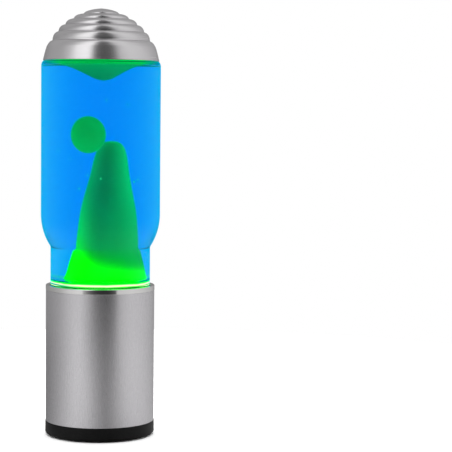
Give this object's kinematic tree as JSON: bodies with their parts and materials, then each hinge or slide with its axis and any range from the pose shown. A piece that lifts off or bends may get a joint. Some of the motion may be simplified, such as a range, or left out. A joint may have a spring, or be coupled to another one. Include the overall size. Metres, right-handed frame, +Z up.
{
  "type": "lava lamp",
  "caption": "Cylindrical motion lamp: a glass bottle of blue liquid and green wax stands in a satin metal tube base and wears a stepped metal cap.",
  "frame": {"origin": "on the lamp's axis, at the plane where its rubber feet meet the table", "axes": "+Z up along the lamp's axis; -Y faces the viewer; the cord's bush is at the back, on +Y"},
  "size_m": [0.092, 0.092, 0.3295],
  "materials": {
    "satin_aluminium": "satin",
    "polished_aluminium": "polished",
    "black_plastic": "satin",
    "rubber": "matte",
    "silicone": "matte",
    "plated_steel": "satin",
    "brass": "satin",
    "brown_phenolic": "satin",
    "porcelain": "gloss",
    "clear_glass": "polished",
    "bulb_glass": "gloss",
    "black_glass": "gloss",
    "filament_metal": "satin",
    "liner": "matte",
    "blue_liquid": "polished",
    "green_wax": "satin"
  },
  "bodies": {
    "base": {"base_tube": "satin_aluminium", "top_collar": "polished_aluminium", "seat_gasket": "silicone", "foot_ring": "black_plastic", "bottom_cover": "black_plastic", "inlet_bush": "black_plastic", "cover_screw_1": "plated_steel", "cover_screw_2": "plated_steel", "cover_screw_3": "plated_steel", "bracket_screw_1": "plated_steel", "bracket_screw_2": "plated_steel", "rubber_foot_1": "rubber", "rubber_foot_2": "rubber", "rubber_foot_3": "rubber", "rubber_foot_4": "rubber", "holder_bracket": "plated_steel", "holder_nipple": "brass", "holder_nut": "brass", "holder_cap": "brown_phenolic", "holder_sleeve": "brown_phenolic", "holder_core": "porcelain", "centre_contact": "brass", "side_contact": "brass", "terminal_screw_1": "brass", "terminal_screw_2": "brass"},
    "bulb": {"bulb_tip": "brass", "bulb_insulator": "black_glass", "bulb_screw_shell": "brass", "bulb_envelope": "bulb_glass", "bulb_stem": "clear_glass", "bulb_lead_1": "filament_metal", "bulb_lead_2": "filament_metal", "bulb_filament": "filament_metal"},
    "bottle": {"glass_bottle": "clear_glass", "crown_liner": "liner", "crown_cap": "plated_steel", "blue_liquid": "blue_liquid", "wax_column": "green_wax", "wax_top": "green_wax", "wire_coil": "plated_steel"},
    "ball": {"wax_ball": "green_wax"},
    "cap": {"top_cap": "polished_aluminium"}
  },
  "joints": [
    {"name": "bottle_lift", "type": "slide", "parent": "base", "child": "bottle", "axis": [0, 0, 1], "range_m": [0, 0.1]},
    {"name": "cap_lift", "type": "slide", "parent": "bottle", "child": "cap", "axis": [0, 0, 1], "range_m": [0, 0.06]},
    {"name": "wax_ball_rise", "type": "slide", "parent": "bottle", "child": "ball", "axis": [0, 0, 1], "range_m": [-0.05, 0.03]},
    {"name": "bulb_unscrew", "type": "hinge", "parent": "base", "child": "bulb", "pos_m": [0, 0, 0.05], "axis": [0, 0, 1], "range_deg": [0, 900]}
  ]
}
